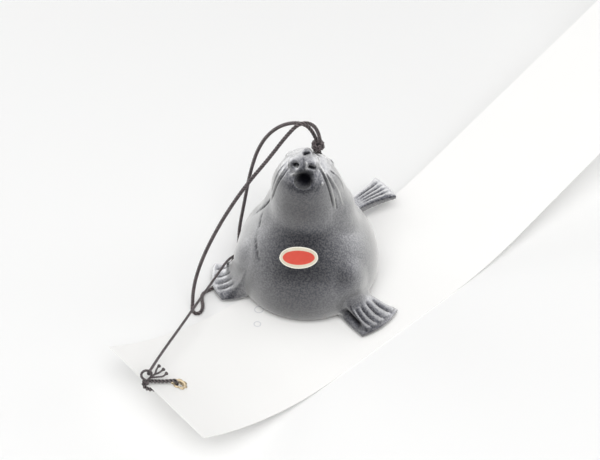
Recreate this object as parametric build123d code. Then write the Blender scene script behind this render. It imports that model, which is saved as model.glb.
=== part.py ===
"""Cast iron wind bell in the form of a seal, with its hanging loop, clapper, cord and paper strip.

Millimetres, +Z up. The origin is on the bell's axis, at the underside of the flat part of the strip.
The seal faces -Y, so its left side is +X. Each separate piece is one STEP file in parts/.
"""

import os
from math import cos, pi, radians, sin, sqrt, tan

from build123d import *

os.makedirs("parts", exist_ok=True)

# Paper strip: flat under the bell, curled up at its near end, rising beyond the bell
strip_width = 60.0
strip_length = 363.0
strip_thickness = 0.3
strip_heading = 60.3
strip_side_offset = 22.3
strip_flat_near = 28.0
strip_flat_far = 36.0
near_curl_radius = 127.0
near_curl_turn = 35.0
far_bend_radius = 150.0
far_bend_turn = 18.0

# Cast iron body
foot_clearance = 0.1
rim_lift = 1.6
body_radius = 31.5
body_rise = 71.2
wall = 3.2
roof_thickness = 16.0
lip_round = 0.7
crown_hole_x = 3.4
crown_hole_y = 3.0

# Level outlines of the body: height above the rim as a share of body_rise, then the reach to the
# side, the front and the back as shares of body_radius
skin_shares = (
    (0.000, 0.935, 0.935, 0.935),
    (0.040, 0.982, 0.982, 0.982),
    (0.110, 1.000, 1.000, 1.000),
    (0.200, 0.980, 0.980, 0.980),
    (0.312, 0.902, 0.902, 0.902),
    (0.424, 0.757, 0.762, 0.752),
    (0.537, 0.590, 0.606, 0.574),
    (0.649, 0.505, 0.540, 0.470),
    (0.761, 0.451, 0.546, 0.356),
    (0.846, 0.413, 0.552, 0.275),
    (0.910, 0.358, 0.520, 0.225),
    (0.958, 0.264, 0.385, 0.150),
    (0.990, 0.125, 0.250, 0.030),
)
cavity_ring_count = 9
roof_inset_share = 1.7

# Lumps and hollows of the face as shares of face_size: centre to the seal's left, ahead of the
# bell's axis and above the rim, then three half sizes
face_size = 12.0
face_lump_shares = (
    ("muzzle", 0.05, 0.50, 5.72, 0.50, 0.56, 0.40),
    ("nose", 0.03, 0.27, 6.03, 0.20, 0.22, 0.17),
    ("left lip", 0.27, 0.60, 5.84, 0.27, 0.29, 0.22),
    ("right lip", -0.21, 0.62, 5.81, 0.27, 0.29, 0.22),
    ("left brow", 0.62, -0.08, 5.30, 0.24, 0.36, 0.22),
    ("right brow", -0.66, -0.04, 5.32, 0.24, 0.36, 0.22),
)
face_hollow_shares = (
    ("mouth", 0.22, 1.27, 5.58, 0.31, 0.24, 0.24),
    ("left nostril", 0.36, 0.85, 5.93, 0.13, 0.14, 0.10),
    ("right nostril", -0.15, 0.87, 5.90, 0.13, 0.14, 0.10),
)

# Front flippers: heading from straight ahead, reach from the axis, widths, heights of the underside
flipper_finger_count = 5
flipper_thickness = 3.1
flipper_root_inset = 1.9
arm_reach = 31.8
arm_rise = 6.0
arm_half_length = 3.5
arm_half_width = 7.5
arm_half_height = 5.2
left_flipper_heading = 60.5
left_flipper_reach = 46.0
left_flipper_root_width = 17.0
left_flipper_tip_width = 20.5
left_flipper_root_height = 4.2
left_flipper_inner_height = 1.6
left_flipper_last_height = 1.6
right_flipper_heading = -60.5
right_flipper_reach = 41.8
right_flipper_root_width = 16.5
right_flipper_tip_width = 19.5
right_flipper_root_height = 3.0
right_flipper_inner_height = 2.9
right_flipper_last_height = 3.2

# Hind flippers and the tail that carries them
hind_finger_count = 4
hind_thickness = 3.3
hind_heading = 36.5
hind_root_x = 5.0
hind_root_y = 32.0
hind_length = 27.6
hind_root_width = 10.5
hind_tip_width = 14.2
hind_root_height = 4.6
hind_tip_height = 9.4
tail_length = 9.5
tail_width = 19.0
tail_height = 12.0

# A finger of a flipper, along its length: its width and thickness as shares
finger_shares = (
    (0.00, 1.00, 1.30),
    (0.45, 1.00, 1.00),
    (0.82, 1.00, 0.95),
    (1.00, 0.62, 0.50),
)
finger_width_share = 1.42
fan_bow_share = 0.08
fan_spread_share = 0.80

# Tail stub, along its length: its width and height as shares
tail_shares = (
    (0.0, 1.00, 1.00),
    (0.6, 0.86, 0.74),
    (1.0, 0.60, 0.45),
)
tail_corner_share = 0.45
tail_root_share = 0.65

# Oval label on the chest
label_width = 16.2
label_height = 9.8
label_thickness = 0.15
label_turn = 8.8
label_rise = 31.2
label_slope = 32.0
label_reach = 22.7
label_punch = 6.0

# Cords and knots
loop_cord_diameter = 1.5
thin_cord_diameter = 1.1
knot_gap = 0.15
top_knot_radius = 2.9
top_knot_gap = 0.05
stop_knot_gap = 0.3
stop_knot_radius = 2.6
crown_hole_clearance = 0.4
clapper_hole_clearance = 0.4
clapper_knot_radius = 1.7
strip_knot_radius = 2.1
wrap_share = 0.26
wrap_tilts = (35.0, -35.0)
cord_corner_share = 0.45
settle_steps = 8

# Clapper
clapper_diameter = 20.0
clapper_thickness = 3.0
clapper_bevel = 0.6
clapper_rise = 9.6

# Eyelet near the strip's end
eyelet_from_end = 14.4
eyelet_side = 1.0
eyelet_hole_diameter = 3.7
eyelet_wall = 0.35
eyelet_flange_diameter = 7.0
eyelet_petal_count = 6
eyelet_petal_slot = 0.9
eyelet_fit = 0.05

# Short cord through the eyelet and the knot's tails
bridle_diameter = 1.7
tail_cord_diameter = 0.8
tail_knot_diameter = 1.7
strip_knot_from_end = -0.9
strip_knot_side = 5.9
strip_knot_height = 2.0

# Cutting shapes run past what they cut by this much
overrun = 2.0
half_share = 0.5

# Levels worked out from the sizes above
paper_foot_level = strip_thickness + foot_clearance
rim_level = strip_thickness + rim_lift
crown_level = rim_level + body_rise
roof_level = crown_level - roof_thickness
crown_hole_radius = loop_cord_diameter + crown_hole_clearance
clapper_level = rim_level + clapper_rise

# Hanging loop: its cord lies from the top knot over to the ground, folds there and comes back
loop_route = (
    (4.3, 2.9, 76.0),
    (4.0, 2.4, 81.0),
    (1.5, 1.0, 86.6),
    (-2.7, -2.8, 88.9),
    (-6.9, -7.1, 84.3),
    (-12.7, -11.9, 74.8),
    (-19.8, -17.2, 64.6),
    (-26.2, -22.7, 53.4),
    (-31.8, -27.4, 41.2),
    (-36.4, -31.2, 28.8),
    (-39.4, -33.6, 17.4),
    (-40.8, -34.5, 8.2),
    (-40.7, -35.6, 3.6),
    (-40.3, -37.6, 1.5),
    (-38.6, -38.7, 0.9),
    (-36.7, -37.9, 0.9),
    (-36.3, -35.6, 0.9),
    (-37.1, -32.9, 0.9),
    (-38.6, -30.2, 0.9),
    (-39.6, -27.6, 0.9),
    (-38.9, -25.2, 0.9),
    (-36.9, -23.0, 0.9),
    (-35.5, -18.8, 0.9),
    (-34.4, -11.4, 0.9),
    (-33.9, -4.8, 0.9),
    (-33.9, 1.8, 0.9),
    (-34.9, 7.3, 1.5),
    (-35.8, 10.0, 6.0),
    (-34.9, 10.8, 13.5),
    (-32.9, 10.4, 24.0),
    (-30.7, 9.6, 36.0),
    (-28.3, 9.1, 47.6),
    (-25.1, 8.5, 59.2),
    (-20.1, 7.7, 69.8),
    (-13.0, 6.1, 78.4),
    (-5.0, 4.9, 82.6),
    (0.5, 3.8, 81.4),
    (2.6, 3.5, 76.0),
)

# Thin cord: from the clapper's knot, under the rim and over the right flipper to the strip's knot
strip_cord_route = (
    (3.4, 3.0, 7.85),
    (3.4, 3.0, 5.4),
    (2.2, 3.8, 2.9),
    (-0.8, 5.4, 1.25),
    (-6.0, 7.4, 1.05),
    (-12.0, 8.6, 1.05),
    (-20.0, 8.6, 1.05),
    (-26.2, 6.3, 1.0),
    (-30.0, 2.5, 1.2),
    (-32.0, -0.9, 2.8),
    (-33.1, -4.4, 4.9),
    (-33.9, -8.2, 6.35),
    (-34.4, -12.4, 7.05),
    (-34.7, -18.4, 7.9),
    (-34.9, -28.0, 9.9),
    (-35.1, -44.0, 13.6),
    (-35.3, -62.0, 17.8),
    (-35.6, -80.0, 22.15),
    (-35.5, -93.1, 25.1),
)

# Short doubled cord: from the strip's knot, down through the eyelet and back round the paper's end;
# along the paper from its end, to its left, and above its top face
bridle_route = (
    (0.2, 4.3, 1.5),
    (3.0, 3.1, 1.35),
    (6.2, 2.1, 1.4),
    (9.2, 1.6, 1.5),
    (11.4, 1.3, 1.6),
    (13.2, 1.1, 1.55),
    (14.5, 1.0, -0.1),
    (13.4, 1.0, -1.95),
    (10.8, 0.7, -2.1),
    (7.4, 0.2, -1.8),
    (4.0, -0.2, -1.6),
    (0.6, -0.5, -1.55),
    (-2.2, 0.4, -1.0),
    (-3.9, 2.3, 0.3),
    (-3.7, 4.6, 1.4),
    (-2.4, 5.6, 2.0),
)

# The knot's three tails, in the same terms
tail_routes = {
    "knot_tail_long": ((0.6, 6.6, 1.1), (3.9, 7.2, 1.7), (6.8, 8.6, 2.8), (9.3, 9.9, 3.5)),
    "knot_tail_middle": ((0.8, 5.6, 1.7), (4.0, 6.0, 2.2), (7.0, 6.9, 2.9), (9.9, 7.7, 3.3)),
    "knot_tail_short": ((0.6, 5.2, 2.7), (3.8, 4.9, 2.3), (6.9, 5.2, 2.5), (10.0, 5.6, 2.8)),
}


def heading_vector(heading):
    """Level unit vector; heading 0 is straight ahead of the seal, positive towards its left."""
    return Vector(sin(radians(heading)), -cos(radians(heading)), 0)


def egg(centre, half_x, half_y, half_z):
    """Ellipsoid with its three half sizes."""
    return Pos(centre) * scale(Sphere(half_z), by=(half_x / half_z, half_y / half_z, 1))


def corner_radii(points):
    """Radius at each corner of a route, from its shorter run and its turn."""
    radii = []
    for before, here, after in zip(points, points[1:], points[2:]):
        run_in = here - before
        run_out = after - here
        half_turn = radians(run_in.get_angle(run_out)) / 2
        shorter = min(run_in.length, run_out.length)
        radii.append(cord_corner_share * shorter / tan(half_turn))
    return radii


def cord_tube(points, diameter, name):
    """Round cord along a route: straight runs joined by tangent arcs."""
    radii = corner_radii(points)
    path = FilletPolyline(*points, radius=radii)
    section = Plane(origin=path @ 0, z_dir=path % 0) * Circle(diameter / 2)
    tube = sweep(section, path=path)
    expected = pi * diameter**2 / 4 * path.length
    print(name, "radii", [round(radius, 1) for radius in radii])
    print(name, "length", round(path.length, 1), "volume share", round(tube.volume / expected, 4))
    return tube


def knot_core(radius):
    """Radius of a knot's ball, between its turns of cord."""
    return radius * (1 - wrap_share * half_share)


def knot_ball(centre, radius):
    """Round knot with two crossed turns of cord standing out of its ball."""
    knot = Pos(centre) * Sphere(knot_core(radius))
    wrap = radius * wrap_share
    for tilt in wrap_tilts:
        knot += Pos(centre) * Rot(tilt, 0, 0) * Torus(radius - wrap, wrap)
    return knot


# Paper strip
strip_along = Vector(cos(radians(strip_heading)), sin(radians(strip_heading)), 0)
strip_left = Vector(-sin(radians(strip_heading)), cos(radians(strip_heading)), 0)
strip_foot = strip_left * -strip_side_offset
near_curl_length = radians(near_curl_turn) * near_curl_radius
far_bend_length = radians(far_bend_turn) * far_bend_radius
strip_ramp = strip_length - near_curl_length - strip_flat_near - strip_flat_far - far_bend_length


def near_curl_point(share, height):
    """Point of the near curl in the strip's long section; share 0 is where the curl starts."""
    turn = radians(near_curl_turn) * share
    radius = near_curl_radius - height
    return (-strip_flat_near - radius * sin(turn), near_curl_radius - radius * cos(turn))


def far_bend_point(share, height):
    """Point of the far bend in the strip's long section; share 0 is where the bend starts."""
    turn = radians(far_bend_turn) * share
    radius = far_bend_radius - height
    return (strip_flat_far + radius * sin(turn), far_bend_radius - radius * cos(turn))


def ramp_end_point(height):
    """Far end of the strip's straight ramp in its long section."""
    start_along, start_up = far_bend_point(1, height)
    slope = radians(far_bend_turn)
    return (start_along + strip_ramp * cos(slope), start_up + strip_ramp * sin(slope))


def strip_point(from_end, side, height):
    """Point by the near end: along the paper from its end, to its left, above its top face."""
    share = 1 - from_end / near_curl_length
    along, up = near_curl_point(share, strip_thickness + height)
    return strip_foot + strip_along * along + strip_left * side + Vector(0, 0, up)


def strip_plane(from_end, side):
    """Plane on the paper's top face, with its normal square to the paper."""
    turn = radians(near_curl_turn) * (1 - from_end / near_curl_length)
    normal = strip_along * sin(turn) + Vector(0, 0, cos(turn))
    return Plane(origin=strip_point(from_end, side, 0), x_dir=strip_left, z_dir=normal)


def strip_face_edges(height):
    """Edges of one face of the paper in its long section, from its near end to its far end."""
    return [
        ThreePointArc(
            near_curl_point(1, height),
            near_curl_point(half_share, height),
            near_curl_point(0, height),
        ),
        Line(near_curl_point(0, height), far_bend_point(0, height)),
        ThreePointArc(
            far_bend_point(0, height),
            far_bend_point(half_share, height),
            far_bend_point(1, height),
        ),
        Line(far_bend_point(1, height), ramp_end_point(height)),
    ]


def make_paper_strip():
    """Long strip of paper with the eyelet's hole near its end."""
    near_edge = Line(near_curl_point(1, 0), near_curl_point(1, strip_thickness))
    far_edge = Line(ramp_end_point(0), ramp_end_point(strip_thickness))
    edges = [*strip_face_edges(0), far_edge, *strip_face_edges(strip_thickness), near_edge]
    plane = Plane(origin=strip_foot, x_dir=strip_along, z_dir=strip_left * -1)
    paper = extrude(plane * make_face(Wire(edges)), amount=strip_width / 2, both=True)
    hole_radius = eyelet_hole_diameter / 2 + eyelet_wall + eyelet_fit
    return paper - strip_plane(eyelet_from_end, eyelet_side) * Cylinder(hole_radius, overrun)


def make_eyelet():
    """Brass eyelet: a barrel through the paper, a round flange below and splayed petals above."""
    hole_radius = eyelet_hole_diameter / 2
    barrel_radius = hole_radius + eyelet_wall
    flange_radius = eyelet_flange_diameter / 2
    middle = -strip_thickness / 2
    flange_offset = strip_thickness / 2 + eyelet_fit + eyelet_wall / 2
    barrel = Pos(0, 0, middle) * Cylinder(barrel_radius, 2 * flange_offset + eyelet_wall)
    flange = Pos(0, 0, middle - flange_offset) * Cylinder(flange_radius, eyelet_wall)
    petals = Pos(0, 0, middle + flange_offset) * Cylinder(flange_radius, eyelet_wall)
    slot_reach = flange_radius - barrel_radius + overrun
    slot = Box(slot_reach, eyelet_petal_slot, overrun)
    slot_place = Pos(barrel_radius + slot_reach / 2, 0, overrun / 2)
    for turn in range(eyelet_petal_count):
        petals -= Rot(0, 0, turn * 360 / eyelet_petal_count) * slot_place * slot
    eyelet = barrel + flange + petals - Cylinder(hole_radius, 2 * overrun)
    return strip_plane(eyelet_from_end, eyelet_side) * eyelet


# Casting
def skin_ring(shares, inset):
    """Level outline of the body: an ellipse that reaches further ahead than behind."""
    rise_share, side_share, front_share, back_share = shares
    side = side_share * body_radius - inset
    front = front_share * body_radius - inset
    back = back_share * body_radius - inset
    level = rim_level + rise_share * body_rise
    return Pos(0, (back - front) / 2, level) * Ellipse(side, (front + back) / 2)


def skin_slope(index):
    """How fast the skin draws in with height, about one of its outlines."""
    low = skin_shares[max(index - 1, 0)]
    high = skin_shares[index + 1]
    return (low[1] - high[1]) * body_radius / ((high[0] - low[0]) * body_rise)


def body_skin(extra):
    """Solid of the body's whole outside, grown by an extra thickness."""
    return loft([skin_ring(shares, -extra) for shares in skin_shares])


def body_cavity():
    """Hollow inside, one wall in from the skin, open below and closed by the roof."""
    rings = []
    for index in range(cavity_ring_count):
        inset = wall * sqrt(1 + skin_slope(index) ** 2)
        rings.append(skin_ring(skin_shares[index], inset))
    roof_share = (roof_level - rim_level) / body_rise
    roof_shares = (roof_share, *skin_shares[cavity_ring_count - 1][1:])
    rings.append(skin_ring(roof_shares, roof_inset_share * wall))
    return loft(rings)


def finger(start, end, start_width, end_width, thickness):
    """One ridge of a flipper: a flattened bar that narrows to a round tip."""
    path = end - start
    across = path.cross(Vector(0, 0, 1)).normalized()
    sections = []
    for share, width_share, thickness_share in finger_shares:
        width = (start_width + (end_width - start_width) * share) * width_share
        plane = Plane(origin=start + path * share, x_dir=across, z_dir=path)
        sections.append(plane * Ellipse(width / 2, thickness * thickness_share / 2))
    return loft(sections)


def flipper_fan(count, root, aim, length, widths, thickness, root_height, tip_heights):
    """Fan of fingers side by side; tip heights are those of the first, inner and last finger."""
    side = Vector(-aim.Y, aim.X, 0)
    root_width, tip_width = widths
    first_height, inner_height, last_height = tip_heights
    heights = [first_height] + [inner_height] * (count - 2) + [last_height]
    fingers = []
    for index, tip_height in enumerate(heights):
        spread = index / (count - 1) - half_share
        bow = 1 - fan_bow_share * (2 * spread) ** 2
        start = root + side * (spread * root_width * fan_spread_share)
        end = root + aim * (length * bow) + side * (spread * tip_width * fan_spread_share)
        start += Vector(0, 0, root_height + thickness / 2)
        end += Vector(0, 0, tip_height + thickness * finger_shares[-1][2] / 2)
        start_width = root_width / count * finger_width_share
        end_width = tip_width / count * finger_width_share
        fingers.append(finger(start, end, start_width, end_width, thickness))
    return fingers


def front_flipper(heading, reach, widths, root_height, tip_heights):
    """Front flipper, from inside the body's wall to its reach from the axis."""
    aim = heading_vector(heading)
    start = body_radius - flipper_root_inset
    return flipper_fan(
        flipper_finger_count,
        aim * start,
        aim,
        reach - start,
        widths,
        flipper_thickness,
        root_height,
        tip_heights,
    )


def arm(heading):
    """Round lump, rooted in the wall, that carries a front flipper out of the body."""
    lump = egg((0, -arm_reach, rim_level + arm_rise), arm_half_width, arm_half_length, arm_half_height)
    return Rot(0, 0, heading) * lump


def left_flipper():
    """The seal's left front flipper; its first finger stands on the paper."""
    return front_flipper(
        left_flipper_heading,
        left_flipper_reach,
        (left_flipper_root_width, left_flipper_tip_width),
        left_flipper_root_height,
        (paper_foot_level, left_flipper_inner_height, left_flipper_last_height),
    )


def right_flipper():
    """The seal's right front flipper; its last finger is a foot, and cord lies under the rest."""
    return front_flipper(
        right_flipper_heading,
        right_flipper_reach,
        (right_flipper_root_width, right_flipper_tip_width),
        right_flipper_root_height,
        (right_flipper_last_height, right_flipper_inner_height, foot_clearance),
    )


def hind_flipper(mirror):
    """One hind flipper, lifted off the ground."""
    aim = Vector(mirror * sin(radians(hind_heading)), cos(radians(hind_heading)), 0)
    return flipper_fan(
        hind_finger_count,
        Vector(mirror * hind_root_x, hind_root_y, 0),
        aim,
        hind_length,
        (hind_root_width, hind_tip_width),
        hind_thickness,
        hind_root_height,
        (hind_tip_height, hind_tip_height, hind_tip_height),
    )


def tail_stub():
    """Short tail behind the body, which is the third foot."""
    start = body_radius - wall * tail_root_share
    plane = Plane(origin=(0, start, 0), x_dir=(-1, 0, 0), z_dir=(0, 1, 0))
    sections = []
    for share, width_share, height_share in tail_shares:
        height = tail_height * height_share
        outline = RectangleRounded(tail_width * width_share, height, height * tail_corner_share)
        sections.append(plane * Pos(0, foot_clearance + height / 2, tail_length * share) * outline)
    return loft(sections)


def face_shapes(table):
    """Ellipsoids of the face."""
    shapes = []
    for _, across, ahead, above, half_x, half_y, half_z in table:
        centre = Vector(across * face_size, -ahead * face_size, rim_level + above * face_size)
        shapes.append(egg(centre, half_x * face_size, half_y * face_size, half_z * face_size))
    return shapes


def make_seal_bell():
    """The casting: body, head, face, flippers and tail in one piece of iron."""
    bell = body_skin(0) - body_cavity()
    lip = bell.edges().group_by(Axis.Z)[0]
    bell = fillet(lip, lip_round)
    bell = bell.fuse(*face_shapes(face_lump_shares))
    bell = bell.fuse(arm(left_flipper_heading), arm(right_flipper_heading))
    bell = bell.fuse(*left_flipper(), *right_flipper())
    bell = bell.fuse(*hind_flipper(1), *hind_flipper(-1), tail_stub())
    bell = bell.cut(*face_shapes(face_hollow_shares))
    hole = Cylinder(crown_hole_radius, 2 * roof_thickness)
    return bell - Pos(crown_hole_x, crown_hole_y, crown_level) * hole


def make_chest_label():
    """Bare oval label that lies on the chest."""
    aim = heading_vector(label_turn)
    slope = radians(label_slope)
    normal = aim * cos(slope) + Vector(0, 0, sin(slope))
    centre = aim * label_reach + Vector(0, 0, rim_level + label_rise)
    plane = Plane(origin=centre, x_dir=Vector(-aim.Y, aim.X, 0), z_dir=normal)
    oval = plane * Ellipse(label_width / 2, label_height / 2)
    punch = extrude(oval, amount=label_punch, both=True)
    return (body_skin(label_thickness) - body_skin(0)) & punch


# Cords and knots
def settle(ball_radius, bell):
    """Height at which a ball over the crown hole lies its gap above the casting."""
    level = crown_level + 2 * ball_radius
    for _ in range(settle_steps):
        ball = Pos(crown_hole_x, crown_hole_y, level) * Sphere(ball_radius)
        level -= ball.distance_to(bell) - top_knot_gap
    return level


def on_hole(level, shape):
    """Shape placed on the crown hole's axis at a height."""
    return Pos(crown_hole_x, crown_hole_y, level) * shape


def make_clapper():
    """Flat iron disc with bevelled edges and a hole in the middle for the cord."""
    disc = Cylinder(clapper_diameter / 2, clapper_thickness)
    disc = chamfer(disc.edges(), clapper_bevel)
    disc -= Cylinder(thin_cord_diameter / 2 + clapper_hole_clearance, 2 * clapper_thickness)
    return on_hole(clapper_level + clapper_thickness / 2, disc)


def cord_between(top, bottom, radius):
    """Upright piece of cord on the crown hole's axis."""
    return on_hole((top + bottom) / 2, Cylinder(radius, top - bottom))


pieces = {}
pieces["seal_bell"] = make_seal_bell()
pieces["chest_label"] = make_chest_label()

top_knot_level = settle(top_knot_radius, pieces["seal_bell"])
top_knot_centre = Vector(crown_hole_x, crown_hole_y, top_knot_level)
pieces["top_knot"] = knot_ball(top_knot_centre, top_knot_radius)
top_knot_bottom = top_knot_level - top_knot_radius
stop_knot_drop = sqrt((stop_knot_radius + stop_knot_gap) ** 2 - crown_hole_radius**2)
stop_knot_level = roof_level - stop_knot_drop
clapper_knot_level = clapper_level - knot_gap - clapper_knot_radius
pieces["crown_cord"] = cord_between(
    top_knot_bottom - knot_gap, stop_knot_level + stop_knot_radius + knot_gap, loop_cord_diameter
)
pieces["stop_knot"] = on_hole(stop_knot_level, Sphere(stop_knot_radius))
pieces["clapper_cord"] = cord_between(
    stop_knot_level - stop_knot_radius - knot_gap,
    clapper_knot_level + clapper_knot_radius,
    thin_cord_diameter / 2,
)
pieces["clapper"] = make_clapper()
pieces["clapper_knot"] = on_hole(clapper_knot_level, Sphere(clapper_knot_radius))

loop_points = [Vector(*point) for point in loop_route]
loop_tube = cord_tube(loop_points, loop_cord_diameter, "hang_loop_cord")
pieces["hang_loop_cord"] = loop_tube - pieces["top_knot"]
strip_cord_points = [Vector(*point) for point in strip_cord_route]
pieces["strip_cord"] = cord_tube(strip_cord_points, thin_cord_diameter, "strip_cord")

pieces["paper_strip"] = make_paper_strip()
pieces["eyelet"] = make_eyelet()
strip_knot_centre = strip_point(strip_knot_from_end, strip_knot_side, strip_knot_height)
pieces["strip_knot"] = knot_ball(strip_knot_centre, strip_knot_radius)
bridle_points = [strip_point(*point) for point in bridle_route]
bridle_tube = cord_tube(bridle_points, bridle_diameter, "strip_bridle")
pieces["strip_bridle"] = bridle_tube - pieces["strip_knot"]
for name, route in tail_routes.items():
    tail_points = [strip_point(*point) for point in route]
    tail = cord_tube(tail_points, tail_cord_diameter, name)
    tail += Pos(tail_points[-1]) * Sphere(tail_knot_diameter / 2)
    pieces[name] = tail - pieces["strip_knot"]

print("top knot", top_knot_centre, "stop knot height", round(stop_knot_level, 2))
print("strip knot", strip_knot_centre)
for name, piece in pieces.items():
    export_step(piece, f"parts/{name}.step")
    print(name, "volume", round(piece.volume, 1), "solids", len(piece.solids()))
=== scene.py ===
# %% [markdown]
# # Cast iron seal wind bell
#
# A small iron bell, cast in the form of a seal that looks up, stands on its own paper strip. A
# twisted cord loop carries it, and inside hang a clapper and the cord that pulls on the strip.
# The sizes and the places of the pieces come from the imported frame, and this script gives each
# piece its finish. It reads the frame first, because every later step is placed by it.

import math
from contextlib import contextmanager

import bpy
import numpy as np
from mathutils import Matrix, Vector
from mathutils.bvhtree import BVHTree


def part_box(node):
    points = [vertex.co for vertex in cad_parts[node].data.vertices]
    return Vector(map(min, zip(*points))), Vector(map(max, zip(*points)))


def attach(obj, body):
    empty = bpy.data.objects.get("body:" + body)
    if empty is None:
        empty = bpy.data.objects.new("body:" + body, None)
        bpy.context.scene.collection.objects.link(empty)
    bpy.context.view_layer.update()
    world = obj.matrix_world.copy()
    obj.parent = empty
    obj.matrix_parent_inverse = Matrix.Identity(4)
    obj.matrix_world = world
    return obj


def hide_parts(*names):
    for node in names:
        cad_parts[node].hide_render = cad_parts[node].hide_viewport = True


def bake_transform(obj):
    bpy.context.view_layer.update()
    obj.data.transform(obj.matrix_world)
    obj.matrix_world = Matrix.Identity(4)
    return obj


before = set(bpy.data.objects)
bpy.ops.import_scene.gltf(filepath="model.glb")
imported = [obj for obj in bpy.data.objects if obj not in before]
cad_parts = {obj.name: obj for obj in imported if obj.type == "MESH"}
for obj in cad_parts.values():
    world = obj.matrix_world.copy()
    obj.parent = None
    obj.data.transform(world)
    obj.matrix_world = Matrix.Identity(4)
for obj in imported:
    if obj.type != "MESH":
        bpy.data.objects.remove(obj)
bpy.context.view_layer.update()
MM = 0.001
print("pieces in the frame:", len(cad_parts))

# %% [markdown]
# ## Helpers for operators
#
# Blender's operators act on what is selected, and the frame's pieces are selected after loading.
# So each piece is selected alone before an operator works on it. Points are written in
# millimetres, as a maker would measure them, and turned into metres here.

# %% Select, place and finish a piece


def metres(*point):
    """A point in millimetres as a point in metres."""
    return Vector(point) * MM


def select_only(piece):
    """Selects one piece and makes it the one that operators act on."""
    bpy.ops.object.select_all(action="DESELECT")
    piece.select_set(True)
    bpy.context.view_layer.objects.active = piece


@contextmanager
def editing(piece):
    """Edit mode on one piece with all of it selected, and object mode again afterwards."""
    select_only(piece)
    bpy.ops.object.mode_set(mode="EDIT")
    bpy.ops.mesh.select_all(action="SELECT")
    yield
    bpy.ops.object.mode_set(mode="OBJECT")


def finish_with(piece, kind, **settings):
    """Adds a modifier with its settings and applies it."""
    select_only(piece)
    modifier = piece.modifiers.new(kind.lower(), kind)
    for setting, value in settings.items():
        setattr(modifier, setting, value)
    bpy.ops.object.modifier_apply(modifier=modifier.name)


def smooth(piece, angle=180.0):
    """Shades a piece smooth, with sharp edges kept past an angle in degrees."""
    select_only(piece)
    bpy.ops.object.shade_smooth_by_angle(angle=math.radians(angle))


def add_shape(kind, **settings):
    """Adds a primitive with nothing else selected."""
    bpy.ops.object.select_all(action="DESELECT")
    getattr(bpy.ops.mesh, f"primitive_{kind}_add")(**settings)
    return bpy.context.object


def join(pieces, name):
    """Joins pieces into one mesh."""
    select_only(pieces[0])
    for piece in pieces[1:]:
        piece.select_set(True)
    bpy.ops.object.join()
    pieces[0].name = name
    return pieces[0]


def paint(piece, material):
    """Gives a piece one material."""
    piece.data.materials.clear()
    piece.data.materials.append(material)


def stand_for(piece, node, body):
    """Puts a piece on a body, in place of a piece of the frame, which it hides."""
    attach(piece, body)
    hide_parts(node)


# %% [markdown]
# ## Camera, floor and light
#
# The object is seen from above and in front, about half a metre away, through a long lens. The
# floor is a plain white table under soft light. A dark glossy casting shows its form only by
# what it mirrors, so the surround differs by the kind of ray that meets it: the camera sees
# plain white, a mirrored ray finds it bright behind the bell and dark in front, and every other
# ray an even fill. Three soft boxes add the shadows, and the front one isn't mirrored.

# %% Camera at the viewing angle
camera_place = metres(117.2, -371.0, 412.2)
camera_aim = metres(-11.5, 25.2, 0.0)
image_width = 600
focal_length_px = 1266.0
sensor_width_mm = 36.0

camera_data = bpy.data.cameras.new("camera")
camera = bpy.data.objects.new("camera", camera_data)
bpy.context.scene.collection.objects.link(camera)
camera_data.sensor_width = sensor_width_mm
camera_data.lens = focal_length_px * sensor_width_mm / image_width
camera.location = camera_place
camera.rotation_euler = (camera_aim - camera_place).to_track_quat("-Z", "Y").to_euler()
bpy.context.scene.camera = camera
print("lens in mm:", round(camera_data.lens, 1))

# %% White floor
floor = add_shape("plane", size=6.0)
floor.name = "floor"

floor_paint = bpy.data.materials.new("white_table")
floor_paint.use_nodes = True
floor_shader = floor_paint.node_tree.nodes["Principled BSDF"]
floor_shader.inputs["Base Color"].default_value = (0.93, 0.93, 0.925, 1)
floor_shader.inputs["Roughness"].default_value = 0.6
floor_shader.inputs["Specular IOR Level"].default_value = 0.2
paint(floor, floor_paint)

# %% Soft boxes


def soft_box(name, place, aim, width, height, power):
    """A large rectangular lamp that faces a point."""
    data = bpy.data.lights.new(name, "AREA")
    data.shape = "RECTANGLE"
    data.size = width
    data.size_y = height
    data.energy = power
    lamp = bpy.data.objects.new(name, data)
    bpy.context.scene.collection.objects.link(lamp)
    lamp.location = place
    lamp.rotation_euler = (Vector(aim) - Vector(place)).to_track_quat("-Z", "Y").to_euler()
    return lamp


bell_middle = (0.0, 0.0, 0.04)
soft_box("soft_box_left", (-0.80, 0.25, 0.30), bell_middle, 0.6, 0.4, 1.0)
soft_box("soft_box_right", (0.75, 0.45, 0.42), bell_middle, 0.6, 0.4, 1.0)
front_box = soft_box("soft_box_front", (0.15, -0.55, 1.1), bell_middle, 1.2, 0.9, 11.0)
front_box.visible_glossy = False

# %% Helpers that fill a node tree


def feed(tree, socket, term):
    """Gives a socket a plain value or another node's output."""
    if isinstance(term, bpy.types.NodeSocket):
        tree.links.new(term, socket)
    else:
        socket.default_value = term


def calculate(tree, operation, first, second):
    """A math node; each term is a number or another node's output."""
    node = tree.nodes.new("ShaderNodeMath")
    node.operation = operation
    feed(tree, node.inputs[0], first)
    feed(tree, node.inputs[1], second)
    return node.outputs[0]


def remap(tree, value, low, high, new_low, new_high):
    """A value moved from one range to another."""
    node = tree.nodes.new("ShaderNodeMapRange")
    sockets = ("Value", "From Min", "From Max", "To Min", "To Max")
    for socket, term in zip(sockets, (value, low, high, new_low, new_high)):
        feed(tree, node.inputs[socket], term)
    return node.outputs["Result"]


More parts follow.
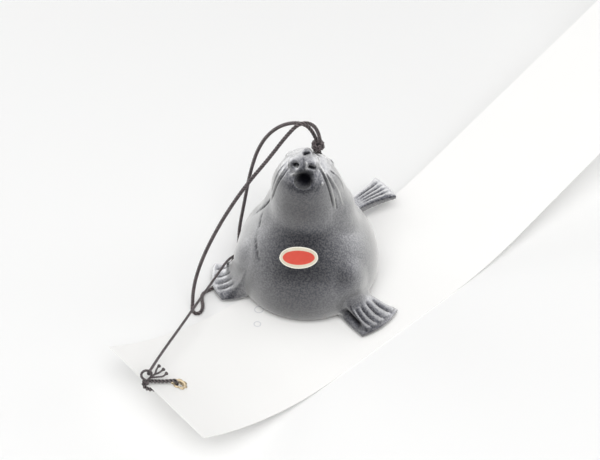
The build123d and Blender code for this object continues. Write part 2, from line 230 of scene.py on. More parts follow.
# %% White surround
bright_towards = (-0.15, 1.0, 0.55)
dark_strength, bright_strength = 0.12, 2.5
fill_strength = 0.42
seen_strength = 1.0
world = bpy.data.worlds.new("white_surround")
world.use_nodes = True
world.cycles.sampling_method = "NONE"
world_tree = world.node_tree
background = world_tree.nodes["Background"]
background.inputs["Color"].default_value = (1, 1, 1, 1)
direction = world_tree.nodes.new("ShaderNodeTexCoord")
towards_light = world_tree.nodes.new("ShaderNodeVectorMath")
towards_light.operation = "DOT_PRODUCT"
towards_light.inputs[1].default_value = bright_towards
world_tree.links.new(direction.outputs["Generated"], towards_light.inputs[0])
rays = world_tree.nodes.new("ShaderNodeLightPath")
mirrored = remap(world_tree, towards_light.outputs["Value"], -0.8, 0.75, dark_strength, bright_strength)
lit = remap(world_tree, rays.outputs["Is Glossy Ray"], 0.0, 1.0, fill_strength, mirrored)
seen = remap(world_tree, rays.outputs["Is Camera Ray"], 0.0, 1.0, lit, seen_strength)
world_tree.links.new(seen, background.inputs["Strength"])
bpy.context.scene.world = world
bpy.context.scene.view_settings.view_transform = "Standard"
print("lamps:", len(bpy.data.lights))

# %% [markdown]
# ## Shared effects
#
# Two effects appear in more than one finish: the fine grain of iron, brass, paper and card, and
# the fibres of twisted yarn. Each is a node group, so that a finish only sets its scale. A group
# gives out masks and heights, and the shader stays in the material itself.

# %% Helper that builds a node group


def effect_group(name, inputs, outputs):
    """An empty node group with named number sockets; returns it with its two end nodes."""
    group = bpy.data.node_groups.new(name, "ShaderNodeTree")
    for socket, default in inputs.items():
        made = group.interface.new_socket(socket, in_out="INPUT", socket_type="NodeSocketFloat")
        made.default_value = default
    for socket in outputs:
        group.interface.new_socket(socket, in_out="OUTPUT", socket_type="NodeSocketFloat")
    start = group.nodes.new("NodeGroupInput")
    end = group.nodes.new("NodeGroupOutput")
    return group, start, end


# %% Grain: fine pits and bumps, and slow changes of shade
grain_scales = {"Scale": 1000.0, "Blotch Scale": 60.0}
grain, grain_in, grain_out = effect_group("grain", grain_scales, ("Height", "Blotch"))
grain_place = grain.nodes.new("ShaderNodeTexCoord")
for socket, scale_name, detail in (("Height", "Scale", 3.0), ("Blotch", "Blotch Scale", 2.0)):
    noise = grain.nodes.new("ShaderNodeTexNoise")
    noise.inputs["Detail"].default_value = detail
    grain.links.new(grain_place.outputs["Object"], noise.inputs["Vector"])
    grain.links.new(grain_in.outputs[scale_name], noise.inputs["Scale"])
    grain.links.new(noise.outputs["Fac"], grain_out.inputs[socket])

# %% Yarn: fine fibres that run along a strand's own map
yarn, yarn_in, yarn_out = effect_group("yarn", {"Fibres": 5.0, "Slant": 0.6}, ("Height", "Shade"))
yarn_map = yarn.nodes.new("ShaderNodeUVMap")
yarn_map.uv_map = "strand"
yarn_split = yarn.nodes.new("ShaderNodeSeparateXYZ")
yarn.links.new(yarn_map.outputs["UV"], yarn_split.inputs["Vector"])
slant = calculate(yarn, "MULTIPLY", yarn_split.outputs["X"], yarn_in.outputs["Slant"])
around = calculate(yarn, "ADD", yarn_split.outputs["Y"], slant)
phase = calculate(yarn, "MULTIPLY", around, yarn_in.outputs["Fibres"])
wave = calculate(yarn, "PINGPONG", phase, 0.5)
yarn.links.new(calculate(yarn, "MULTIPLY", wave, 2.0), yarn_out.inputs["Height"])
yarn_place = yarn.nodes.new("ShaderNodeTexCoord")
yarn_noise = yarn.nodes.new("ShaderNodeTexNoise")
yarn_noise.inputs["Scale"].default_value = 900.0
yarn.links.new(yarn_place.outputs["Object"], yarn_noise.inputs["Vector"])
yarn.links.new(yarn_noise.outputs["Fac"], yarn_out.inputs["Shade"])

# %% [markdown]
# ## Finishes
#
# Baked lacquer on cast iron is nearly black, a little blue, with a soft gloss and the fine
# stipple of the sand mould. Seen at a slant it mirrors more, and a painted reflection makes its
# colour lighter there.
# The carving further down writes two marks on the skin. One lightens crests, partly as wear
# and partly as a painted highlight; the other paints grooves, hollows and the front under the
# head near black as painted shade, where the lacquer is also rough and dull. The cords are dark
# brown polyester, the strip is smooth white card, the eyelet is brass, and the label is printed
# foil paper.

# %% Helper that starts a finish


def new_finish(name, roughness, specular=0.5, metallic=0.0):
    """A material with its plain values set on the shader; returns it, its tree and its shader."""
    material = bpy.data.materials.new(name)
    material.use_nodes = True
    shader = material.node_tree.nodes["Principled BSDF"]
    shader.inputs["Roughness"].default_value = roughness
    shader.inputs["Specular IOR Level"].default_value = specular
    shader.inputs["Metallic"].default_value = metallic
    return material, material.node_tree, shader


def use_group(tree, group, **values):
    """Places a shared effect in a material with its own values."""
    node = tree.nodes.new("ShaderNodeGroup")
    node.node_tree = group
    for socket, value in values.items():
        node.inputs[socket.replace("_", " ")].default_value = value
    return node


def blend_colours(tree, share, first, second):
    """A mix of two colours by a mask; a colour is three numbers or another node's output."""
    node = tree.nodes.new("ShaderNodeMix")
    node.data_type = "RGBA"
    tree.links.new(share, node.inputs["Factor"])
    for socket, colour in ((node.inputs[6], first), (node.inputs[7], second)):
        feed(tree, socket, (*colour, 1) if isinstance(colour, tuple) else colour)
    return node.outputs[2]


def add_bump(tree, shader, height, strength, depth):
    """A bump from a height, in metres deep, on the shader's normal."""
    node = tree.nodes.new("ShaderNodeBump")
    node.inputs["Strength"].default_value = strength
    node.inputs["Distance"].default_value = depth
    tree.links.new(height, node.inputs["Height"])
    tree.links.new(node.outputs["Normal"], shader.inputs["Normal"])


def grained_finish(name, roughness, scales, colours, bump, **values):
    """A finish that drifts between two shades over a fine grain; returns it with its parts."""
    material, tree, shader = new_finish(name, roughness, **values)
    group = use_group(tree, grain, Scale=scales[0], Blotch_Scale=scales[1])
    blotch = group.outputs["Blotch"]
    colour = blend_colours(tree, blotch, *colours)
    tree.links.new(colour, shader.inputs["Base Color"])
    add_bump(tree, shader, group.outputs["Height"], *bump)
    return material, tree, shader, blotch, colour


# %% Cast iron under black lacquer
iron, iron_tree, iron_shader = new_finish("cast_iron_lacquer", 0.4, specular=0.6, metallic=0.95)
iron_grain = use_group(iron_tree, grain, Scale=1300.0, Blotch_Scale=90.0)
iron_speck = remap(iron_tree, iron_grain.outputs["Height"], 0.40, 0.62, 0.0, 1.0)
iron_blotch = iron_grain.outputs["Blotch"]
iron_pits = blend_colours(iron_tree, iron_blotch, (0.045, 0.047, 0.060), (0.080, 0.082, 0.096))
iron_skin = blend_colours(iron_tree, iron_speck, iron_pits, (0.155, 0.155, 0.165))
# Painted reflection: seen at a slant the colour turns light grey, as the skin mirrors more there.
iron_slant = iron_tree.nodes.new("ShaderNodeLayerWeight")
iron_painted_sheen = calculate(iron_tree, "POWER", iron_slant.outputs["Facing"], 1.3)
iron_colour = blend_colours(iron_tree, iron_painted_sheen, iron_skin, (0.66, 0.66, 0.655))
# Two marks from the carving: the first paints crests lighter, partly wear and partly a painted highlight; the
# second paints grooves and hollows near black as painted shade and makes them rough and dull.
for mark_name, mark_colour in (("wear_and_highlight", (0.45, 0.45, 0.44)), ("painted_shade", (0.008, 0.008, 0.012))):
    mark = iron_tree.nodes.new("ShaderNodeAttribute")
    mark.attribute_name = mark_name
    iron_colour = blend_colours(iron_tree, mark.outputs["Fac"], iron_colour, mark_colour)
painted_shade_level = mark.outputs["Fac"]
iron_roughness = remap(iron_tree, painted_shade_level, 0.0, 1.0, 0.34, 0.8)
iron_gloss = remap(iron_tree, painted_shade_level, 0.0, 0.6, 0.25, 0.0)
for socket, term in (("Base Color", iron_colour), ("Roughness", iron_roughness), ("Coat Weight", iron_gloss)):
    iron_tree.links.new(term, iron_shader.inputs[socket])
iron_shader.inputs["Coat Roughness"].default_value = 0.25
add_bump(iron_tree, iron_shader, iron_grain.outputs["Height"], 0.5, 0.0003)

# %% Bare iron of the clapper
bare_colours = ((0.10, 0.10, 0.10), (0.17, 0.15, 0.13))
bare_iron, *_ = grained_finish(
    "clapper_iron", 0.5, (900.0, 160.0), bare_colours, (0.4, 0.0002), metallic=0.8
)

# %% Dark polyester cords


def cord_finish(name, dark, light, fibres):
    """Twisted yarn with a soft sheen, with painted shade between the strands and light crests."""
    material, tree, shader = new_finish(name, 0.6, specular=0.4)
    group = use_group(tree, yarn, Fibres=fibres)
    crest = tree.nodes.new("ShaderNodeAttribute")
    crest.attribute_name = "crest"
    # Painted shade: the colour is darkest where a strand lies deep in the cord, and light only on the outer
    # crests.
    height = remap(tree, crest.outputs["Fac"], 0.80, 1.0, 0.0, 1.0)
    fibre = remap(tree, group.outputs["Shade"], 0.35, 0.65, 0.45, 1.0)
    shade = calculate(tree, "MULTIPLY", height, fibre)
    tree.links.new(blend_colours(tree, shade, dark, light), shader.inputs["Base Color"])
    shader.inputs["Sheen Weight"].default_value = 0.3
    shader.inputs["Sheen Roughness"].default_value = 0.4
    add_bump(tree, shader, group.outputs["Height"], 0.5, 0.00008)
    return material


# The first colour is the painted shade between the strands, the second the colour of the crests.
loop_yarn = cord_finish("loop_cord_yarn", (0.003, 0.002, 0.002), (0.21, 0.17, 0.175), 5.0)
thin_yarn = cord_finish("thin_cord_yarn", (0.003, 0.002, 0.002), (0.22, 0.18, 0.185), 4.0)

# %% Brass of the eyelet
brass_colours = ((0.34, 0.26, 0.16), (0.56, 0.47, 0.33))
brass, *_ = grained_finish(
    "eyelet_brass", 0.42, (2200.0, 500.0), brass_colours, (0.2, 0.00005), metallic=0.9
)
print("finishes:", [material.name for material in (iron, bare_iron, loop_yarn, thin_yarn, brass)])

# %% [markdown]
# ## Cords
#
# A cord is a fixed length of laid yarn. Its line is a smooth NURBS curve through the route that
# the frame's solid follows, and two or three strands wind round that line. Each strand is a thin
# tube with its own map, so that the fibres can run along it, and each corner keeps how far out it
# lies, so that the finish can paint shade between the strands. Strands are drawn in code, because
# their turns have to keep an even pitch along a curved line, which a modifier would stretch.

# %% Helpers that read a route


def route_line(points):
    """The smooth line of a route: points read from a NURBS curve with the route's points."""
    curve = bpy.data.curves.new("route", "CURVE")
    curve.dimensions = "3D"
    curve.resolution_u = 10
    spline = curve.splines.new("NURBS")
    spline.points.add(len(points) - 1)
    for control, point in zip(spline.points, points):
        control.co = (*(Vector(point) * MM), 1)
    spline.order_u = 3
    spline.use_endpoint_u = True
    ruler = bpy.data.objects.new("route", curve)
    mesh = bpy.data.meshes.new_from_object(ruler)
    line = np.array([vertex.co for vertex in mesh.vertices])
    bpy.data.objects.remove(ruler)
    bpy.data.meshes.remove(mesh)
    return line


def along(line):
    """Distance along a line at each of its points."""
    steps = np.linalg.norm(np.diff(line, axis=0), axis=1)
    return np.concatenate([[0.0], np.cumsum(steps)])


def spaced(line, step):
    """The same line with points an even step apart."""
    distance = along(line)
    count = max(int(round(distance[-1] / step)), 2)
    marks = np.linspace(0, distance[-1], count + 1)
    return np.stack([np.interp(marks, distance, line[:, axis]) for axis in range(3)], axis=1)


def frames_along(line):
    """Two unit vectors across the line at each point, which turn with it and never twist."""
    ahead = np.gradient(line, axis=0)
    ahead /= np.linalg.norm(ahead, axis=1)[:, None]
    side = Vector(ahead[0]).orthogonal().normalized()
    sides = []
    for direction in ahead:
        side = (side - side.dot(Vector(direction)) * Vector(direction)).normalized()
        sides.append(side.copy())
    sides = np.array(sides)
    return sides, np.cross(ahead, sides)


# %% Helpers that lay a cord
strand_share = 0.98


def tube(line, radius, ring_sides, first):
    """Corners, faces and map of a closed tube along a line; first numbers its first corner."""
    sides, ups = frames_along(line)
    turns = np.linspace(0, 2 * math.pi, ring_sides, endpoint=False)
    radii = radius * np.ones(len(line)) if np.isscalar(radius) else np.asarray(radius)
    corners = [
        line + radii[:, None] * (math.cos(turn) * sides + math.sin(turn) * ups) for turn in turns
    ]
    corners = np.stack(corners, axis=1).reshape(-1, 3)
    distance = along(line) / max(radii.max(), 1e-6)
    faces = []
    face_map = []
    for ring in range(len(line) - 1):
        for k in range(ring_sides):
            here = first + ring * ring_sides
            there = here + ring_sides
            nxt = (k + 1) % ring_sides
            faces.append((here + k, here + nxt, there + nxt, there + k))
            low, high = k / ring_sides, (k + 1) / ring_sides
            near, far = distance[ring], distance[ring + 1]
            face_map += [(near, low), (near, high), (far, high), (far, low)]
    last = first + (len(line) - 1) * ring_sides
    faces.append(tuple(first + k for k in reversed(range(ring_sides))))
    faces.append(tuple(last + k for k in range(ring_sides)))
    face_map += [(0.0, k / ring_sides) for k in range(2 * ring_sides)]
    return corners, faces, face_map


def mesh_from_tubes(name, lines, core, radius, ring_sides, material):
    """One smooth piece from tubes along lines; each corner keeps its distance from the core line."""
    corners = []
    faces = []
    face_map = []
    crests = []
    for line in lines:
        made = tube(line, radius, ring_sides, len(corners))
        crests.extend(np.linalg.norm(made[0] - np.repeat(core, ring_sides, axis=0), axis=1))
        corners.extend(made[0])
        faces.extend(made[1])
        face_map.extend(made[2])
    mesh = bpy.data.meshes.new(name)
    mesh.from_pydata([tuple(corner) for corner in corners], [], faces)
    layer = mesh.uv_layers.new(name="strand")
    layer.data.foreach_set("uv", np.array(face_map, float).ravel())
    crest = mesh.attributes.new("crest", "FLOAT", "POINT")
    crest.data.foreach_set("value", np.array(crests) / max(crests))
    piece = bpy.data.objects.new(name, mesh)
    bpy.context.scene.collection.objects.link(piece)
    smooth(piece, 60.0)
    paint(piece, material)
    return piece


def strand_lines(line, diameter, strands, pitch, step):
    """Lines of the strands of a laid cord, and one strand's radius."""
    strand_radius = diameter / 2 / (1 + 1 / math.sin(math.pi / strands))
    lay_radius = diameter / 2 - strand_radius
    core = spaced(line, step)
    sides, ups = frames_along(core)
    turn = 2 * math.pi * along(core) / pitch
    lines = []
    for strand in range(strands):
        angle = turn + 2 * math.pi * strand / strands
        offset = np.cos(angle)[:, None] * sides + np.sin(angle)[:, None] * ups
        lines.append(core + lay_radius * offset)
    return lines, strand_radius, core


def lay_cord(name, line, diameter, pitch, material, strands=3, step=0.3 * MM, ring_sides=7):
    """A cord of strands laid round a line; returns it with the line's own points."""
    lines, strand_radius, core = strand_lines(line, diameter, strands, pitch, step)
    piece = mesh_from_tubes(name, lines, core, strand_radius * strand_share, ring_sides, material)
    print(name, "length in mm:", round(float(along(core)[-1]) / MM, 1))
    return piece, core


# %% Hanging loop
loop_diameter = 1.5 * MM
loop_pitch = 3.9 * MM
loop_route = (
    (4.3, 2.9, 76.0), (4.0, 2.4, 81.0), (1.5, 1.0, 86.6), (-2.7, -2.8, 88.9), (-6.9, -7.1, 84.3),
    (-12.7, -11.9, 74.8), (-19.8, -17.2, 64.6), (-26.2, -22.7, 53.4), (-31.8, -27.4, 41.2),
    (-36.4, -31.2, 28.8), (-39.4, -33.6, 17.4), (-40.8, -34.5, 8.2), (-40.7, -35.6, 3.6),
    (-40.3, -37.6, 1.5), (-38.6, -38.7, 0.9), (-36.7, -37.9, 0.9), (-36.3, -35.6, 0.9),
    (-37.1, -32.9, 0.9), (-38.6, -30.2, 0.9), (-39.6, -27.6, 0.9), (-38.9, -25.2, 0.9),
    (-36.9, -23.0, 0.9), (-35.5, -18.8, 0.9), (-34.4, -11.4, 0.9), (-33.9, -4.8, 0.9),
    (-33.9, 1.8, 0.9), (-34.9, 7.3, 1.5), (-35.8, 10.0, 6.0), (-34.9, 10.8, 13.5),
    (-32.9, 10.4, 24.0), (-30.7, 9.6, 36.0), (-28.3, 9.1, 47.6), (-25.1, 8.5, 59.2),
    (-20.1, 7.7, 69.8), (-13.0, 6.1, 78.4), (-5.0, 4.9, 82.6), (0.5, 3.8, 81.4), (2.6, 3.5, 76.0),
)
loose_lay = 1.16
hang_loop, loop_line = lay_cord(
    "hanging_loop", route_line(loop_route), loop_diameter * loose_lay, loop_pitch, loop_yarn
)

# %% Thin cord to the strip
thin_diameter = 1.1 * MM
thin_pitch = 3.0 * MM
strip_cord_route = (
    (3.4, 3.0, 5.4), (2.9, 3.35, 4.1), (1.6, 4.15, 2.5), (-0.8, 5.4, 1.25), (-6.0, 7.4, 1.05),
    (-12.0, 8.6, 1.05), (-20.0, 8.6, 1.05), (-26.2, 6.3, 1.0), (-30.0, 2.5, 1.2),
    (-32.0, -0.9, 2.8), (-33.1, -4.4, 4.9), (-33.9, -8.2, 6.35), (-34.4, -12.4, 7.05),
    (-34.7, -18.4, 7.9), (-34.9, -28.0, 9.9), (-35.1, -44.0, 13.6), (-35.3, -62.0, 17.8),
    (-35.6, -80.0, 22.15), (-35.4, -90.5, 24.6), (-34.9, -93.3, 26.0),
)
strip_cord, strip_cord_line = lay_cord(
    "thin_cord_to_strip", route_line(strip_cord_route), thin_diameter * loose_lay, thin_pitch, thin_yarn
)

# %% Short upright end of the thin cord, under the clapper's knot
loop_lay = (loop_diameter, loop_pitch, loop_yarn)
thin_lay = (thin_diameter, thin_pitch, thin_yarn)
drop_top = metres(3.4, 3.0, 8.4)
drop_bottom = metres(3.4, 3.0, 5.3)
cord_drop, _ = lay_cord("thin_cord_under_clapper", np.array([drop_top, drop_bottom]), *thin_lay)
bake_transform(cord_drop)

# %% Cord through the crown, and the clapper's cord
crown_low, crown_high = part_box("crown_cord")
crown_middle = (crown_low + crown_high) / 2


def upright_line(node, aside=0.0):
    """Line from the bottom to the top of a piece on the crown's axis, or to one side of it."""
    low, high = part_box(node)
    return np.array([(crown_middle.x + aside, crown_middle.y, level) for level in (low.z, high.z)])


crown_pair = [
    lay_cord("crown_part", upright_line("crown_cord", side * loop_diameter), *loop_lay)[0]
    for side in (-0.5, 0.5)
]
crown_cord = join(crown_pair, "cord_through_crown")
stand_for(crown_cord, "crown_cord", "bell")
clapper_cord, _ = lay_cord("clapper_hanging_cord", upright_line("clapper_cord"), *thin_lay)
stand_for(clapper_cord, "clapper_cord", "clapper")

# %% [markdown]
# ## Knots
#
# A hard round knot is a cord that passes over and under itself until no gap is left. A closed
# line that winds five times across a ball while it goes three times round it crosses itself like
# that, so the knots follow such a line. Its size comes from the frame's knot.

# %% Helper that ties a round knot


def tie_knot(name, centre, radius, cord_diameter, pitch, material, tilt=0.0, windings=(2, 3)):
    """A round knot: one cord wound over and under itself on a ball."""
    laps, waves = windings
    reach = radius - cord_diameter / 2
    under_share = 0.86
    angle = np.linspace(0, 2 * math.pi, 600)
    swing = np.sin(waves * angle) * 0.95
    shell = reach * (under_share + (1 - under_share) * np.cos(waves * angle * 2))
    level = shell * np.cos(swing)
    line = [level * np.cos(laps * angle), level * np.sin(laps * angle), shell * np.sin(swing)]
    turn = np.array(Matrix.Rotation(math.radians(tilt), 3, "X"))
    line = np.stack(line, axis=1) @ turn.T + np.array(centre)
    lines, strand_radius, middle = strand_lines(line, cord_diameter, 3, pitch, 0.25 * MM)
    # The ball inside has no crest mark, so the cord finish paints it in full painted shade between the wraps.
    core = add_shape("ico_sphere", subdivisions=3, radius=reach * under_share, location=centre)
    bpy.ops.object.transform_apply(location=True, rotation=True, scale=True)
    core.data.uv_layers[0].name = "strand"
    paint(core, material)
    wraps = mesh_from_tubes(name, lines, middle, strand_radius * 1.05, 6, material)
    return join([wraps, core], name)


# %% Knots on the head, under the roof and under the clapper
round_knots = (
    ("top_knot", "knot_on_the_head", "hanging_loop", loop_lay, 35.0, "loop_cord"),
    ("stop_knot", "knot_under_the_roof", "clapper_swivel", loop_lay, 10.0, "loop_cord"),
    ("clapper_knot", "knot_under_the_clapper", "clapper", thin_lay, 0.0, "thin_cord"),
)
knots = {}
for node, name, body, lay, tilt, slot in round_knots:
    low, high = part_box(node)
    radius = (high.x - low.x) / 2
    knots[node] = tie_knot(name, (low + high) / 2, radius, *lay, tilt, windings=(3, 5))
    stand_for(knots[node], node, body)
    print(name, "radius in mm:", round(radius / MM, 2))

# %% [markdown]
# ## The casting
#
# The seal is one piece of iron: body, head, flippers and tail. The frame holds its true size,
# wall and hollow, so a copy of the frame's mesh is the start. Its flippers are cut off and made
# again as fans: a grid is given a wall, and a formula then bends it into a thin plate with raised
# fingers. Each finger would otherwise be a piece of its own with a seam to hide.

# %% Copy of the frame's casting, with the flippers cut off


def heading(degrees):
    """Level unit vector; 0 is straight ahead of the seal, and positive is towards its left."""
    return Vector((math.sin(math.radians(degrees)), -math.cos(math.radians(degrees)), 0))


front_heading = 60.5
hind_heading = 143.5
front_cut = 31.4 * MM
hind_cut = 35.0 * MM

seal = bpy.data.objects.new("seal_casting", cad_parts["seal_bell"].data.copy())
bpy.context.scene.collection.objects.link(seal)
flipper_cuts = [
    (side * degrees, cut)
    for degrees, cut in ((front_heading, front_cut), (hind_heading, hind_cut))
    for side in (1, -1)
]
with editing(seal):
    bpy.ops.mesh.remove_doubles(threshold=0.01 * MM)
    for degrees, cut in flipper_cuts:
        aim = heading(degrees)
        bpy.ops.mesh.select_all(action="SELECT")
        bpy.ops.mesh.bisect(plane_co=aim * cut, plane_no=aim, use_fill=True, clear_outer=True)
print("casting without flippers, faces:", len(seal.data.polygons))

# %% Helpers for smooth shapes


def mix(low, high, share):
    """Value at a share of the way from low to high."""
    return low + (high - low) * share


def ease(value, low, high):
    """Smooth rise from 0 at low to 1 at high."""
    share = min(max((value - low) / (high - low), 0.0), 1.0)
    return share * share * (3 - 2 * share)


def finger_profile(grooves, across):
    """Round section of the fingers: 1 on a crest and 0 in the grooves on both sides of it."""
    for low, high in zip(grooves, grooves[1:]):
        if low <= across <= high:
            offset = (across - (low + high) / 2) / ((high - low) / 2)
            return math.sqrt(max(0.0, 1 - offset * offset))
    return 0.0


# %% Shape of a flipper
finger_start_share, finger_full_share = 0.15, 0.5
tip_share, tip_round_share = 0.87, 0.075
back_edge_share, back_edge_drop = 0.93, 0.8


def flipper_point(shape, share, across, top):
    """Corner of a flipper: share runs from root to tip, across from its front edge to its back."""
    half_width = mix(*shape["half_width"], share ** shape["spread"])
    middle = mix(*shape["middle"], share * share)
    body = mix(shape["lift"][1], shape["lift"][0], (1 - share) ** shape["fall"])
    body *= 1 - shape["crown"] * max(0.0, across) ** 2 * (1 - share)
    ridge = shape["rise"] * finger_profile(shape["grooves"], across)
    ridge *= ease(share, finger_start_share, finger_full_share)
    rounding = math.sqrt(max(0.0, 1 - (max(0.0, share - tip_share) / tip_round_share) ** 2))
    step = ease(across, *shape["wall"]) * rounding
    step *= 1 - back_edge_drop * ease(across, back_edge_share, 1.0)
    height = mix(*shape["level"], share) + (body + ridge) * step + shape["tilt"] * across * share
    if not top:
        height = max(shape["sole"], height - mix(*shape["thickness"], share))
    aim = heading(shape["heading"])
    back = Matrix.Rotation(math.radians(math.copysign(90, shape["heading"])), 3, "Z") @ aim
    along = mix(*shape["along"], share * (1 - shape["bow"] * across * across))
    place = aim * along + back * (middle + half_width * across)
    return (place + Vector(shape["root"]) + Vector((0, 0, height))) * MM


def flipper(shape):
    """One flipper as a closed solid: a grid for its top, and the same grid again for its sole."""
    piece = add_shape("grid", x_subdivisions=56, y_subdivisions=96, size=2)
    flat = [vertex.co.copy() for vertex in piece.data.vertices]
    finish_with(piece, "SOLIDIFY", thickness=0.1, offset=-1)
    for number, vertex in enumerate(piece.data.vertices):
        corner = flat[number % len(flat)]
        vertex.co = flipper_point(shape, (corner.x + 1) / 2, corner.y, number < len(flat))
    with editing(piece):
        bpy.ops.mesh.normals_make_consistent(inside=False)
    return piece


# %% The four flippers, in millimetres and shares
front_shape = {
    "root": (0, 0, 0), "spread": 1.4, "bow": 0.12, "level": (2.9, 2.9), "lift": (14.0, 0.6), "fall": 2.9,
    "crown": 0.8, "rise": 1.0, "wall": (-0.88, -0.7), "grooves": (-0.8, -0.5, -0.19, 0.19, 0.61, 1.0),
    "sole": 1.0, "thickness": (20.0, 20.0),
}
left_front = {
    **front_shape, "heading": front_heading, "along": (29.2, 46.2), "half_width": (8.3, 10.8),
    "middle": (0.0, 1.9), "tilt": 0.1,
}
right_front = {
    **front_shape, "heading": -front_heading, "along": (29.2, 42.9), "half_width": (9.6, 10.9),
    "middle": (-1.6, 0.4), "tilt": 0.5, "rise": 0.35, "crown": 0.4, "wall": (-0.99, -0.84), "bow": 0.2,
    "level": (3.5, 3.3), "sole": 2.0,
}
hind_shape = {
    "spread": 1.9, "bow": 0.03, "level": (9.0, 12.0), "lift": (0.0, 0.0), "fall": 1.0, "crown": 0.0,
    "rise": 0.7, "wall": (-1.2, -1.0), "grooves": (-0.9, -0.55, -0.22, 0.14, 0.52, 0.95), "sole": 1.0,
    "thickness": (4.2, 2.4), "tilt": 0.0, "along": (4.5, 27.9), "half_width": (3.5, 7.9),
    "middle": (0.6, -0.2),
}
left_hind = {**hind_shape, "heading": hind_heading, "root": (5.0, 32.0, 0)}
right_hind = {**hind_shape, "heading": -hind_heading, "root": (-5.0, 32.0, 0)}
flipper_shapes = (left_front, right_front, left_hind, right_hind)
seal = join([seal, *map(flipper, flipper_shapes)], "seal_casting")
print("casting with new flippers, faces:", len(seal.data.polygons))

# %% [markdown]
# ## The skin of the casting
#
# Molten iron leaves no seam between a flipper and the body, so a voxel remesh melts the parts
# into one skin. It leaves the roots of the flippers hard, and the sand mould did not, so the skin
# is relaxed there, and the shoulders and neck are swelled a little where the pattern was fuller.
# A remesh spends as many faces on a smooth back as on a face, so the body is then thinned out and
# the front of the head is divided finer, ready for carving.

# %% Melt the parts into one skin
voxel = 0.45 * MM
finish_with(seal, "REMESH", mode="VOXEL", voxel_size=voxel, use_smooth_shade=True)
finish_with(seal, "SMOOTH", factor=0.5, iterations=3)
print("skin faces:", len(seal.data.polygons))

# %% Helpers that soften and swell the skin


def skin_arrays(piece):
    """Places and normals of a piece's corners."""
    places = np.empty(len(piece.data.vertices) * 3)
    piece.data.vertices.foreach_get("co", places)
    normals = np.empty(len(piece.data.vertices) * 3)
    piece.data.vertices.foreach_get("normal", normals)
    return places.reshape(-1, 3), normals.reshape(-1, 3)


def soften(piece, centres, reach, passes, levels=10):
    """Relaxes the skin near each centre, most in its middle, as a moulder's spatula does."""
    places, _ = skin_arrays(piece)
    weight = np.zeros(len(places))
    for centre in centres:
        gap = np.linalg.norm((places - np.array(metres(*centre))) / (np.array(reach) * MM), axis=1)
        weight = np.maximum(weight, np.clip(1.6 * (1 - gap), 0, 1))
    group = piece.vertex_groups.new(name="soft")
    for level in range(1, levels + 1):
        chosen = np.nonzero(np.ceil(weight * levels) == level)[0]
        group.add(chosen.tolist(), level / levels, "REPLACE")
    finish_with(piece, "SMOOTH", factor=0.5, iterations=passes, vertex_group="soft")
    piece.vertex_groups.clear()


def press(piece, centre, reach, depth):
    """Sinks a round dimple into the outer skin, or swells it where depth is negative."""
    places, normals = skin_arrays(piece)
    gap = np.linalg.norm((places - np.array(metres(*centre))) / (np.array(reach) * MM), axis=1)
    outside = (places[:, :2] * normals[:, :2]).sum(axis=1) + normals[:, 2] * 8 * MM > 0
    amount = depth * MM * np.clip(1 - gap * gap, 0, 1) ** 2 * outside
    places -= normals * amount[:, None]
    piece.data.vertices.foreach_set("co", places.ravel())
    piece.data.update()


# %% Shoulders, neck and arms: centre, reach and depth in millimetres
swellings = [
    ((15.0, 5.0, 44.0), (14.0, 15.0, 15.0), -2.9),
    ((13.0, 1.0, 58.0), (10.0, 11.0, 13.0), -1.7),
    ((-17.0, -4.0, 42.0), (10.0, 12.0, 10.0), -1.0),
    ((-10.5, -2.0, 65.0), (6.0, 8.0, 11.0), 0.8),
]
for side in (-1, 1):
    arm = heading(side * (front_heading - 2)) * 29
    swellings.append(((arm.x, arm.y, 17.0), (10.0, 10.0, 14.0), -1.8))
for swelling in swellings:
    press(seal, *swelling)

# %% Soft roots for the flippers, and a soft muzzle
front_roots = [heading(side * (front_heading + turn)) * 31.5 + Vector((0, 0, level))
               for side in (-1, 1) for turn, level in ((-15, 6), (0, 11), (15, 6))]
hind_roots = [(side * 11.5, 32.0, 8.5) for side in (-1, 1)]
muzzle = [(-1.9, -9.8, 72.6), (4.9, -9.0, 72.4)]
soften(seal, front_roots, (6.0, 6.0, 7.0), 40)
soften(seal, hind_roots, (6.0, 6.0, 6.0), 30)
soften(seal, muzzle, (4.2, 4.2, 4.2), 70)

# %% Lighter skin on the body, and a finer one on the head for carving
head_level = 46.0 * MM
face_back = 8.0 * MM


def on_face(place, normal):
    """Whether a point of the skin is on the front of the head, outside."""
    outward = normal.x * place.x + normal.y * place.y + normal.z * 20 * MM > 0
    return place.z > head_level and place.y < face_back and outward


body_corners = [vertex.index for vertex in seal.data.vertices if not on_face(vertex.co, vertex.normal)]
seal.vertex_groups.new(name="body").add(body_corners, 1.0, "REPLACE")
finish_with(seal, "DECIMATE", ratio=0.3, vertex_group="body")
seal.vertex_groups.clear()
print("lighter skin, triangles:", sum(len(face.vertices) - 2 for face in seal.data.polygons))
select_only(seal)
bpy.ops.object.mode_set(mode="EDIT")
bpy.ops.mesh.select_all(action="DESELECT")
bpy.ops.object.mode_set(mode="OBJECT")
for face in seal.data.polygons:
    face.select = on_face(face.center, face.normal)
bpy.ops.object.mode_set(mode="EDIT")
bpy.ops.mesh.subdivide(number_cuts=1, smoothness=0)
bpy.ops.object.mode_set(mode="OBJECT")
print("skin faces with a finer head:", len(seal.data.polygons))

# %% [markdown]
# ## Face, bands and marks
#
# The moulder's pattern has a carved face: nostrils, a split lip, a round mouth, and whisker bands
# that run down the neck. Each is a ridge or a groove along a line that lies on the skin. A bump
# texture would be lost at the outline and in the exported shape, so the skin itself is moved, with
# a soft section. The same step writes the marks that the iron's finish reads: a lighter mark on
# what stands out, partly wear and partly painted highlight, and painted shade in what is sunk.

# %% Helpers that carve the skin
skin_tree = BVHTree.FromObject(seal, bpy.context.evaluated_depsgraph_get())
marks = {name: np.zeros(len(seal.data.vertices)) for name in ("wear_and_highlight", "painted_shade")}


